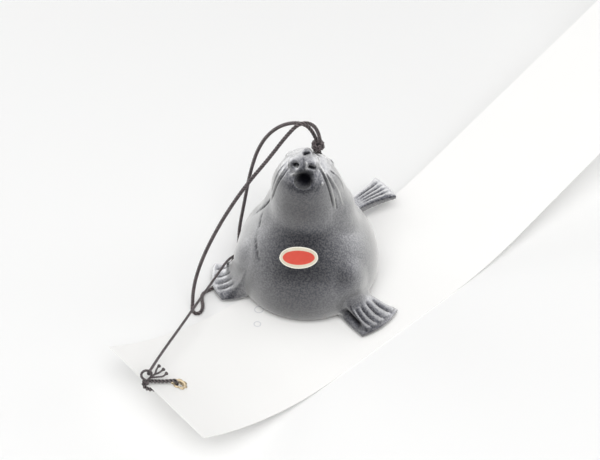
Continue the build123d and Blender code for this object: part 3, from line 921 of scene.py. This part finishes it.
def carve(piece, points, width, height, fade=0.25, mark=1.0):
    """Raises a soft ridge along a line, or cuts a groove where height is negative, and marks it."""
    line = spaced(route_line(points), 0.25 * MM)
    line = np.array([skin_tree.find_nearest(Vector(point))[0] for point in line])
    places, normals = skin_arrays(piece)
    reach = 2.2 * width * MM
    near = np.all((places > line.min(0) - reach) & (places < line.max(0) + reach), axis=1)
    index = np.nonzero(near)[0]
    gaps = np.linalg.norm(places[index, None] - line[None], axis=2)
    gap = gaps.min(axis=1) / (width * MM)
    share = gaps.argmin(axis=1) / (len(line) - 1)
    ends = np.clip(np.minimum(share, 1 - share) / fade, 0, 1)
    amount = np.exp(-gap * gap * 1.6) * ends * ends * (3 - 2 * ends)
    places[index] += normals[index] * (height * MM * amount)[:, None]
    piece.data.vertices.foreach_set("co", places.ravel())
    piece.data.update()
    # A ridge is marked to be lighter, partly wear and partly painted highlight; a groove is marked for
    # painted shade.
    level = marks["wear_and_highlight" if height > 0 else "painted_shade"]
    level[index] = np.maximum(level[index], mark * amount)


def stain(piece, name, centre, size, mark=1.0):
    """Marks a round spot of the skin."""
    places, _ = skin_arrays(piece)
    gap = np.linalg.norm((places - np.array(metres(*centre))) / (size * MM), axis=1)
    marks[name] = np.maximum(marks[name], mark * np.clip(1 - gap * gap, 0, 1))


# %% Lines of the face, the bands and the body: name, width, height and route in millimetres
skin_lines = (
    ("nose cap", 0.8, 0.35, ((-0.6, -3.7, 76.0), (0.3, -2.5, 76.2), (1.5, -2.0, 75.7))),
    ("nose slot", 0.6, -0.9, ((-0.4, -6.0, 75.3), (1.1, -4.9, 75.6), (2.5, -3.6, 75.3))),
    ("right nostril", 0.7, -1.2, ((-3.5, -9.8, 72.6), (-1.7, -10.1, 72.8), (0.0, -10.4, 73.6))),
    ("left nostril", 0.85, -1.3, ((3.1, -9.7, 73.4), (4.9, -9.3, 72.7), (6.5, -8.2, 71.5))),
    ("lip groove", 0.5, -0.35, (
        (0.4, -7.0, 75.3), (1.1, -8.4, 75.0), (1.5, -10.2, 74.2), (2.0, -11.3, 73.2), (2.3, -12.1, 71.9),
    )),
    ("lip fold", 0.4, 0.45, (
        (1.7, -8.5, 74.9), (2.7, -9.6, 74.0), (2.7, -10.9, 73.1), (2.7, -11.8, 72.2),
    )),
    ("upper lip", 0.9, 0.5, (
        (-3.8, -14.1, 68.5), (-2.8, -12.8, 69.5), (-1.0, -12.5, 70.3), (0.9, -12.6, 71.3),
        (2.4, -12.3, 71.1), (4.1, -11.7, 70.0), (5.8, -12.0, 69.0), (7.2, -12.6, 67.6),
    )),
    ("right patch hem", 0.4, 0.45, ((-6.4, -6.0, 70.9), (-4.4, -9.4, 72.7), (-5.4, -9.8, 70.2))),
    ("right band", 0.6, 0.45, (
        (-6.0, -8.4, 71.0), (-6.6, -9.4, 69.9), (-7.4, -12.0, 68.1), (-8.9, -13.4, 64.0),
        (-10.6, -12.3, 58.3), (-12.3, -10.6, 52.3), (-13.6, -9.8, 48.4),
    )),
    ("right band cut", 0.5, -0.35, (
        (-4.0, -10.2, 72.3), (-5.0, -10.4, 70.1), (-5.9, -12.6, 68.7), (-7.3, -14.0, 66.0),
        (-8.9, -13.8, 61.9), (-10.2, -12.9, 57.7), (-11.5, -11.5, 53.3), (-12.4, -10.9, 50.0),
    )),
    ("right outer band", 0.5, 0.4, (
        (-6.4, -6.0, 70.9), (-7.5, -7.7, 70.0), (-8.6, -9.4, 68.7), (-9.4, -11.0, 66.7),
        (-10.1, -11.9, 64.1), (-11.4, -11.3, 58.9), (-12.8, -9.6, 53.0),
    )),
    ("left band", 0.65, 0.55, (
        (2.9, -3.0, 75.0), (4.8, -3.9, 73.5), (6.4, -5.3, 71.7), (8.4, -6.7, 69.7), (10.5, -7.9, 67.2),
        (11.7, -8.3, 64.4), (12.7, -8.2, 61.1), (13.4, -8.0, 57.4), (14.0, -7.4, 53.5),
        (14.6, -7.2, 49.0),
    )),
    ("left band cut", 0.6, -0.4, (
        (6.4, -7.0, 72.2), (7.8, -7.2, 70.0), (9.6, -8.5, 68.1), (11.1, -9.2, 65.3), (12.1, -9.2, 62.1),
        (12.7, -8.9, 59.2), (13.5, -8.2, 53.7), (14.0, -8.2, 50.0),
    )),
    ("left second band", 0.65, 0.45, (
        (7.8, -5.5, 70.3), (9.6, -6.1, 68.8), (11.3, -6.1, 66.5), (12.9, -5.8, 63.5), (14.1, -5.2, 60.2),
        (15.0, -4.3, 56.5), (15.6, -3.8, 53.2), (16.8, -3.2, 48.6),
    )),
    ("left second cut", 0.55, -0.25, (
        (9.4, -6.9, 68.8), (11.6, -7.2, 65.5), (12.9, -6.9, 62.4), (13.7, -6.5, 60.1),
    )),
    ("left low cut", 0.5, -0.25, ((14.1, -6.7, 57.2), (14.4, -6.5, 53.2), (14.9, -6.4, 49.4))),
    ("left third band", 0.65, 0.4, (
        (10.4, -3.0, 68.0), (12.5, -2.0, 65.1), (13.8, -0.8, 62.3), (14.9, -0.3, 59.3),
        (16.0, 0.8, 54.6),
    )),
    ("left third cut", 0.55, -0.3, ((10.6, -3.6, 67.8), (11.6, -2.9, 66.6), (12.4, -2.8, 65.2))),
    ("left crown chips", 0.5, 0.4, ((3.0, -2.2, 74.6), (4.4, -2.4, 73.2), (5.8, -2.5, 71.6))),
    ("left brow", 0.6, 0.4, ((4.8, -0.3, 71.6), (6.7, 0.5, 70.4), (8.6, 1.7, 68.2))),
    ("left eye", 0.5, -0.5, ((8.6, 3.2, 67.7), (9.6, 2.9, 67.0), (10.6, 2.5, 66.2))),
    ("right eye fold", 0.6, 0.4, ((-8.8, -2.8, 69.6), (-7.4, -1.0, 70.6), (-6.0, -0.2, 71.2))),
    ("shoulder line", 0.6, -0.8, (
        (-12.9, -9.7, 52.0), (-14.8, -8.4, 46.7), (-17.7, -7.1, 41.7), (-21.6, -3.5, 35.0),
        (-24.6, -2.0, 30.8),
    )),
    ("flank line", 0.5, -0.5, (
        (-15.7, -8.8, 43.8), (-17.0, -8.9, 40.9), (-17.6, -10.0, 38.4), (-17.5, -12.6, 35.4),
        (-17.6, -16.2, 31.2), (-15.2, -20.8, 27.6), (-11.2, -25.2, 24.6),
    )),
)

# %% Carve the lines
carved_share = 0.75
for _, width, height, points in skin_lines:
    mark = min(1.0, -1.6 * height) if height < 0 else height
    carve(seal, points, width, height * carved_share, mark=mark)
print("lines carved:", len(skin_lines))

# %% Mouth, chin, mole and casting pits: centre, reach and depth in millimetres
mouth = (2.7, -13.4, 69.0)
mole = (9.6, -11.0, 66.5)
pits = ((22.3, -16.3, 23.9), (24.2, -16.0, 20.8))
press(seal, mouth, (4.9, 4.6, 4.4), 1.7)
press(seal, (2.3, -15.4, 66.4), (1.2, 1.2, 1.0), -0.4)
press(seal, mole, (1.1, 1.1, 1.1), -0.3)
for pit in pits:
    press(seal, pit, (1.3, 1.3, 1.3), 0.5)

# %% Lighter and darker spots, painted highlight and painted shade: mark, centre, reach in millimetres, and how strong
spots = (
    ("wear_and_highlight", mole, 0.8, 0.6),
    *(("painted_shade", pit, 1.5, 0.7) for pit in pits),
    ("painted_shade", (2.7, -12.6, 68.8), 4.6, 1.3),
    ("painted_shade", (2.6, -14.6, 66.0), 5.2, 0.5),
    # Broad painted shade under the head, on the chest and low at the front.
    ("painted_shade", (1.0, -15.0, 56.0), 15.0, 0.38),
    ("painted_shade", (2.0, -22.0, 40.0), 13.0, 0.25),
    ("painted_shade", (2.0, -30.0, 4.0), 22.0, 0.35),
    ("painted_shade", (34.0, -25.0, 4.0), 13.0, 0.25),
)
for spot in spots:
    stain(seal, *spot)
print("spots marked:", len(spots))

# %% Fingers: crests lighter, partly wear and partly painted highlight, and grooves in painted shade
strong_rise = 0.6
groove_shares = (0.3, 0.45, 0.6, 0.75, 0.93)
crest_shares = (0.45, 0.6, 0.75, 0.9)
tip_mark_share = 0.885
for shape in flipper_shapes:
    strong = shape["rise"] > strong_rise
    deep = 0.35 if strong else 0.12
    crest_wear_and_highlight = 0.3 if strong else 0.0
    grooves = shape["grooves"]
    # Grooves get painted shade; crests and tips of the strong flippers get a lighter mark, partly wear and
    # partly painted highlight.
    for across in grooves[1:-1]:
        groove = [flipper_point(shape, share, across, True) / MM for share in groove_shares]
        carve(seal, groove, 0.4, -deep, mark=0.75)
    for low, high in zip(grooves, grooves[1:]):
        middle = (low + high) / 2
        crest = [flipper_point(shape, share, middle, True) / MM for share in crest_shares]
        carve(seal, crest, 0.45, 0.12, fade=0.4, mark=crest_wear_and_highlight)
        stain(seal, "wear_and_highlight", flipper_point(shape, tip_mark_share, middle, True) / MM, 0.9, crest_wear_and_highlight)
front_edge = (
    (23.7, -17.9, 7.0), (25.1, -18.9, 6.0), (27.7, -22.8, 5.0), (31.4, -25.7, 4.2), (33.5, -26.8, 3.6),
)
# A groove along the front edge of a front flipper, marked for painted shade.
carve(seal, front_edge, 1.7, -1.1)
for name, level in marks.items():
    seal.data.attributes.new(name, "FLOAT", "POINT").data.foreach_set("value", level)
print("marks:", list(marks))

# %% Slight unevenness of the sand mould
mould = bpy.data.textures.new("mould", "CLOUDS")
mould.noise_scale = 2.4 * MM
mould.noise_depth = 2
finish_with(seal, "DISPLACE", texture=mould, texture_coords="LOCAL", strength=0.09 * MM, mid_level=0.5)
smooth(seal)
paint(seal, iron)
stand_for(seal, "seal_bell", "bell")
print("triangles of the casting:", sum(len(face.vertices) - 2 for face in seal.data.polygons))

# %% [markdown]
# ## Chest label
#
# A small oval sticker of printed foil paper, cream with a red field. It is flat when printed and
# takes the curve of the chest when it is pressed on, so it is made flat, mapped while flat, and
# then wrapped onto the finished skin.

# %% Helper that maps a flat piece


def fresh_map(piece, name, spot):
    """Replaces a piece's maps with one; spot gives a corner's place on it."""
    while piece.data.uv_layers:
        piece.data.uv_layers.remove(piece.data.uv_layers[0])
    layer = piece.data.uv_layers.new(name=name)
    for loop in piece.data.loops:
        layer.data[loop.index].uv = spot(piece.data.vertices[loop.vertex_index].co)


# %% Where the label sits
label_low, label_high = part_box("chest_label")
label_heading = 8.8
label_slope = 32.0
label_turn = math.radians(6.0)
label_width = 18.0 * MM
label_height = 9.5 * MM
label_aim = heading(label_heading)
label_normal = label_aim * math.cos(math.radians(label_slope))
label_normal += Vector((0, 0, math.sin(math.radians(label_slope))))
label_across = Vector((-label_aim.y, label_aim.x, 0))
label_across = Matrix.Rotation(label_turn, 3, label_normal) @ label_across
label_up = label_normal.cross(label_across)
label_place = Matrix((label_across, label_up, label_normal)).transposed().to_4x4()
label_place.translation = (label_low + label_high) / 2 + label_normal * 1.5 * MM

# %% Oval label, cut flat and wrapped on the chest
label_thickness = 0.13 * MM
label_gap = 0.03 * MM
ring_count = 9
label = add_shape("circle", vertices=96, radius=0.5, fill_type="NGON")
label.name = "chest_sticker"
with editing(label):
    for ring in range(ring_count):
        bpy.ops.mesh.inset(thickness=0.05, depth=0)
    bpy.ops.mesh.merge(type="CENTER")
fresh_map(label, "print", lambda corner: (corner.x + 0.5, corner.y + 0.5))
for vertex in label.data.vertices:
    vertex.co = label_place @ Vector((vertex.co.x * label_width, vertex.co.y * label_height, 0))
finish_with(label, "SHRINKWRAP", target=seal, wrap_method="NEAREST_SURFACEPOINT",
            wrap_mode="ABOVE_SURFACE", offset=label_gap)
finish_with(label, "SMOOTH", factor=0.5, iterations=2)
finish_with(label, "SOLIDIFY", thickness=label_thickness, offset=1)
smooth(label, 40.0)

# %% Printed foil paper: a red field, a cream border and a pale rim
red_shades = ((0.62, 0.070, 0.045), (0.76, 0.120, 0.085))
cream_shades = ((0.62, 0.56, 0.42), (0.80, 0.75, 0.62))
foil, foil_tree, foil_shader, foil_blotch, foil_red = grained_finish(
    "printed_foil_paper", 0.35, (1500.0, 300.0), red_shades, (0.15, 0.00005)
)
foil_cream = blend_colours(foil_tree, foil_blotch, *cream_shades)
foil_map = foil_tree.nodes.new("ShaderNodeUVMap")
foil_map.uv_map = "print"


def oval(width, height):
    """Distance from the middle of the print, 1 on an oval of these shares of the label's size."""
    stretch = Vector((2 / width, 2 / height, 0))
    place = foil_tree.nodes.new("ShaderNodeMapping")
    place.inputs["Scale"].default_value = stretch
    place.inputs["Location"].default_value = -stretch / 2
    foil_tree.links.new(foil_map.outputs["UV"], place.inputs["Vector"])
    length = foil_tree.nodes.new("ShaderNodeVectorMath")
    length.operation = "LENGTH"
    foil_tree.links.new(place.outputs["Vector"], length.inputs[0])
    return length.outputs["Value"]


field_edge = remap(foil_tree, oval(0.80, 0.64), 0.98, 1.03, 0.0, 1.0)
foil_field = blend_colours(foil_tree, field_edge, foil_red, foil_cream)
rim_edge = remap(foil_tree, oval(0.95, 0.91), 0.97, 1.02, 0.0, 1.0)
foil_print = blend_colours(foil_tree, rim_edge, foil_field, (0.90, 0.88, 0.78))
foil_tree.links.new(foil_print, foil_shader.inputs["Base Color"])
paint(label, foil)
stand_for(label, "chest_label", "bell")

# %% [markdown]
# ## Paper strip
#
# The strip is one long card, 60 by 363 mm, that hangs below the bell and catches the wind. Here
# it lies flat under the bell, its near end curls up and its far end rises. It is cut flat, with
# the eyelet's hole, and every corner is then moved to where the bent card is.

# %% Where a point of the flat strip goes
strip_width = 60.0
strip_length = 363.0
strip_thickness = 0.3
strip_heading = math.radians(60.3)
strip_side_offset = 22.3
curl_radius = 127.0
curl_turn = math.radians(35.0)
flat_near = 28.0
flat_far = 36.0
bend_radius = 150.0
bend_turn = math.radians(18.0)
strip_ahead = Vector((math.cos(strip_heading), math.sin(strip_heading), 0))
strip_left = Vector((-math.sin(strip_heading), math.cos(strip_heading), 0))


def strip_place(from_end, side, height):
    """Point of the bent strip: along it from its near end, to its left, above its top face."""
    curl_length = curl_radius * curl_turn
    flat_end = curl_length + flat_near + flat_far
    bend_end = flat_end + bend_radius * bend_turn
    level = strip_thickness + height
    if from_end < curl_length:
        turn = curl_turn * (1 - from_end / curl_length)
        radius = curl_radius - level
        ahead = -flat_near - radius * math.sin(turn)
        up = curl_radius - radius * math.cos(turn)
    elif from_end < flat_end:
        ahead = from_end - curl_length - flat_near
        up = level
    else:
        turn = min((from_end - flat_end) / bend_radius, bend_turn)
        radius = bend_radius - level
        rest = max(0.0, from_end - bend_end)
        ahead = flat_far + radius * math.sin(turn) + rest * math.cos(turn)
        up = bend_radius - radius * math.cos(turn) + rest * math.sin(turn)
    place = strip_ahead * ahead + strip_left * (side - strip_side_offset)
    return (place + Vector((0, 0, up))) * MM


# %% Flat card with the eyelet's hole, then bent
eyelet_from_end = 14.4
eyelet_side = 1.0
hole_radius = 2.25
strip = add_shape("grid", x_subdivisions=182, y_subdivisions=30, size=1)
strip.name = "wind_strip"
for vertex in strip.data.vertices:
    vertex.co = ((vertex.co.x + 0.5) * strip_length, vertex.co.y * strip_width, 0)
finish_with(strip, "SOLIDIFY", thickness=strip_thickness, offset=-1)
punch = add_shape("cylinder", vertices=64, radius=hole_radius, depth=4,
                  location=(eyelet_from_end, eyelet_side, 0))
finish_with(strip, "BOOLEAN", object=punch, operation="DIFFERENCE", solver="EXACT")
bpy.data.objects.remove(punch)
fresh_map(strip, "card", lambda corner: (corner.x / strip_length, corner.y / strip_width + 0.5))
for vertex in strip.data.vertices:
    vertex.co = strip_place(*vertex.co)
smooth(strip, 30.0)
print("strip faces:", len(strip.data.polygons))

# %% White card with two plain printed bubbles: place across and ahead, and radius
card_whites = ((0.945, 0.94, 0.925), (0.97, 0.965, 0.95))
card, card_tree, card_shader, _, card_colour = grained_finish(
    "white_card", 0.55, (700.0, 40.0), card_whites, (0.12, 0.00005), specular=0.3
)
card_place = card_tree.nodes.new("ShaderNodeTexCoord")
bubbles = ((-13.2, -27.4, 1.9), (-11.0, -35.7, 1.5))
line_inside, line_outside = 0.45, 0.3
for across, ahead, radius in bubbles:
    gap = card_tree.nodes.new("ShaderNodeVectorMath")
    gap.operation = "DISTANCE"
    gap.inputs[1].default_value = metres(across, ahead, strip_thickness)
    card_tree.links.new(card_place.outputs["Object"], gap.inputs[0])
    inner = remap(card_tree, gap.outputs["Value"], (radius - line_inside) * MM, radius * MM, 0.0, 1.0)
    outer = remap(card_tree, gap.outputs["Value"], radius * MM, (radius + line_outside) * MM, 1.0, 0.0)
    ring_mask = calculate(card_tree, "MULTIPLY", calculate(card_tree, "MULTIPLY", inner, outer), 0.5)
    card_colour = blend_colours(card_tree, ring_mask, card_colour, (0.42, 0.44, 0.50))
card_tree.links.new(card_colour, card_shader.inputs["Base Color"])
paint(strip, card)
stand_for(strip, "paper_strip", "strip")

# %% [markdown]
# ## Eyelet
#
# A brass eyelet lines the hole. It is a short barrel with a rolled flange below, and its upper
# end is split and splayed into petals. Its section is drawn once and spun round the hole.

# %% Barrel and flange: radius and height of the section, in millimetres
eyelet_section = (
    (1.90, -0.95), (2.60, -1.00), (3.25, -0.85), (3.50, -0.50), (3.40, -0.42), (2.70, -0.42),
    (2.20, -0.40), (2.18, 0.05), (2.45, 0.14), (3.00, 0.22), (3.55, 0.14), (3.62, 0.28),
    (3.10, 0.52), (2.55, 0.52), (2.05, 0.40), (1.86, 0.05),
)
section_mesh = bpy.data.meshes.new("eyelet_section")
section_edges = [(k, (k + 1) % len(eyelet_section)) for k in range(len(eyelet_section))]
section_mesh.from_pydata([(radius, 0, height) for radius, height in eyelet_section], section_edges, [])
eyelet = bpy.data.objects.new("brass_eyelet", section_mesh)
bpy.context.scene.collection.objects.link(eyelet)
with editing(eyelet):
    bpy.ops.mesh.spin(steps=140, angle=2 * math.pi, center=(0, 0, 0), axis=(0, 0, 1))
    bpy.ops.mesh.select_all(action="SELECT")
    bpy.ops.mesh.remove_doubles(threshold=0.001)
    bpy.ops.mesh.normals_make_consistent(inside=False)

# %% Petals, and the eyelet's place in the curled card
petal_count = 7
barrel_radius = 2.2
for vertex in eyelet.data.vertices:
    radius = math.hypot(vertex.co.x, vertex.co.y)
    if vertex.co.z > 0.1 and radius > barrel_radius:
        turn = math.atan2(vertex.co.y, vertex.co.x)
        petal = abs(math.cos(turn * petal_count / 2 + 0.4)) ** 0.35
        uneven = 1 + 0.12 * math.sin(3 * turn + 1.0)
        share = (radius - barrel_radius) * petal * uneven
        vertex.co.x *= (barrel_radius + share) / radius
        vertex.co.y *= (barrel_radius + share) / radius
        vertex.co.z += 0.16 * (1 - petal) + 0.08 * math.sin(2 * turn)
eyelet_turn = curl_turn * (1 - eyelet_from_end / (curl_radius * curl_turn))
eyelet_normal = strip_ahead * math.sin(eyelet_turn) + Vector((0, 0, math.cos(eyelet_turn)))
eyelet_ahead = strip_left.cross(eyelet_normal)
eyelet_place = Matrix((eyelet_ahead, strip_left, eyelet_normal)).transposed().to_4x4()
eyelet_place.translation = strip_place(eyelet_from_end, eyelet_side, 0)
for vertex in eyelet.data.vertices:
    vertex.co = eyelet_place @ (vertex.co * MM)
smooth(eyelet, 50.0)
paint(eyelet, brass)
stand_for(eyelet, "eyelet", "strip")
print("eyelet faces:", len(eyelet.data.polygons))

# %% [markdown]
# ## Knot at the strip
#
# The thin cord ends in a small knot by the card's corner. A doubled cord runs from it through
# the eyelet and back under the card's edge, a bight of the cord stands up as a ring, and three
# loose tails end in tiny knots.

# %% Knot and the ring of cord on it
small_lay = 2.0 * MM
knot_balls = (
    ("knot_at_strip", (-34.26, -93.69, 27.0), 1.3, 0.75, 20.0),
    ("lower_knot", (-34.54, -97.81, 25.5), 1.6, 0.85, 60.0),
)
knot_parts = [
    tie_knot(name, metres(*centre), radius * MM, thickness * MM, small_lay, thin_yarn, tilt)
    for name, centre, radius, thickness, tilt in knot_balls
]
ring_route = (
    (-34.4, -97.0, 26.0), (-35.6, -97.0, 26.4), (-36.7, -96.6, 27.5), (-36.6, -95.4, 28.4),
    (-35.6, -94.3, 28.7), (-34.1, -93.9, 28.2), (-33.0, -94.4, 27.4), (-33.1, -95.5, 26.5),
    (-34.2, -96.8, 25.8),
)
ring, _ = lay_cord("ring_of_cord", route_line(ring_route), thin_diameter, 2.4 * MM, thin_yarn)
strip_knot = join([*knot_parts, ring], "knot_at_strip")
stand_for(strip_knot, "strip_knot", "strip")

# %% Doubled cord: each point is from the card's end, to its left and above its top face
bridle_route = (
    (-1.9, 3.9, 1.3), (0.2, 4.1, 1.5), (3.06, 3.7, 1.35), (6.3, 3.0, 1.35), (9.0, 2.5, 1.5), (11.2, 2.1, 1.6),
    (12.8, 1.7, 1.5), (13.6, 1.4, 0.2), (13.0, 1.4, -1.7), (10.8, 1.5, -2.1), (7.4, 1.7, -1.8),
    (4.0, 2.2, -1.6), (0.6, 2.6, -1.55), (-1.4, 3.0, -1.1), (-2.9, 3.5, -0.2), (-3.1, 3.9, 0.6),
)
bridle_diameter = 1.7 * MM
bridle_line = route_line([strip_place(*point) / MM for point in bridle_route])
bridle, _ = lay_cord(
    "doubled_cord", bridle_line, bridle_diameter, 3.6 * MM, thin_yarn, strands=2, step=0.25 * MM
)
stand_for(bridle, "strip_bridle", "strip")

# %% Three loose tails, in the same terms
fork = ((-1.0, 4.2, 2.9), (2.5, 4.9, 3.9))
tail_routes = {
    "knot_tail_long": (*fork, (4.5, 6.6, 3.6), (6.9, 8.6, 3.2), (9.3, 9.9, 3.5)),
    "knot_tail_middle": (*fork, (4.6, 5.6, 3.6), (7.2, 6.5, 3.2), (9.9, 7.7, 3.3)),
    "knot_tail_short": (
        fork[0], (1.2, 3.9, 3.3), (3.0, 3.4, 3.6), (6.0, 3.9, 3.0), (8.2, 4.6, 2.8), (10.0, 5.6, 2.8),
    ),
}
tail_diameter = 0.85 * MM
end_knot_radius = 0.85 * MM
for node, route in tail_routes.items():
    tail_line = route_line([strip_place(*point) / MM for point in route])
    stem, _ = lay_cord("stem", tail_line, tail_diameter, 1.9 * MM, thin_yarn, strands=2, step=0.2 * MM)
    end_knot = tie_knot("end_knot", Vector(tail_line[-1]), end_knot_radius, 0.5 * MM, 1.4 * MM, thin_yarn)
    tail = join([stem, end_knot], node + "_cord")
    stand_for(tail, node, "strip")

stand_for(hang_loop, "hang_loop_cord", "hanging_loop")
stand_for(strip_cord, "strip_cord", "bell")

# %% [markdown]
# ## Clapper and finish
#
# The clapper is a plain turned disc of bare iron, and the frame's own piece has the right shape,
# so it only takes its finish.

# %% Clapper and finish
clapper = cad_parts["clapper"]
paint(clapper, bare_iron)
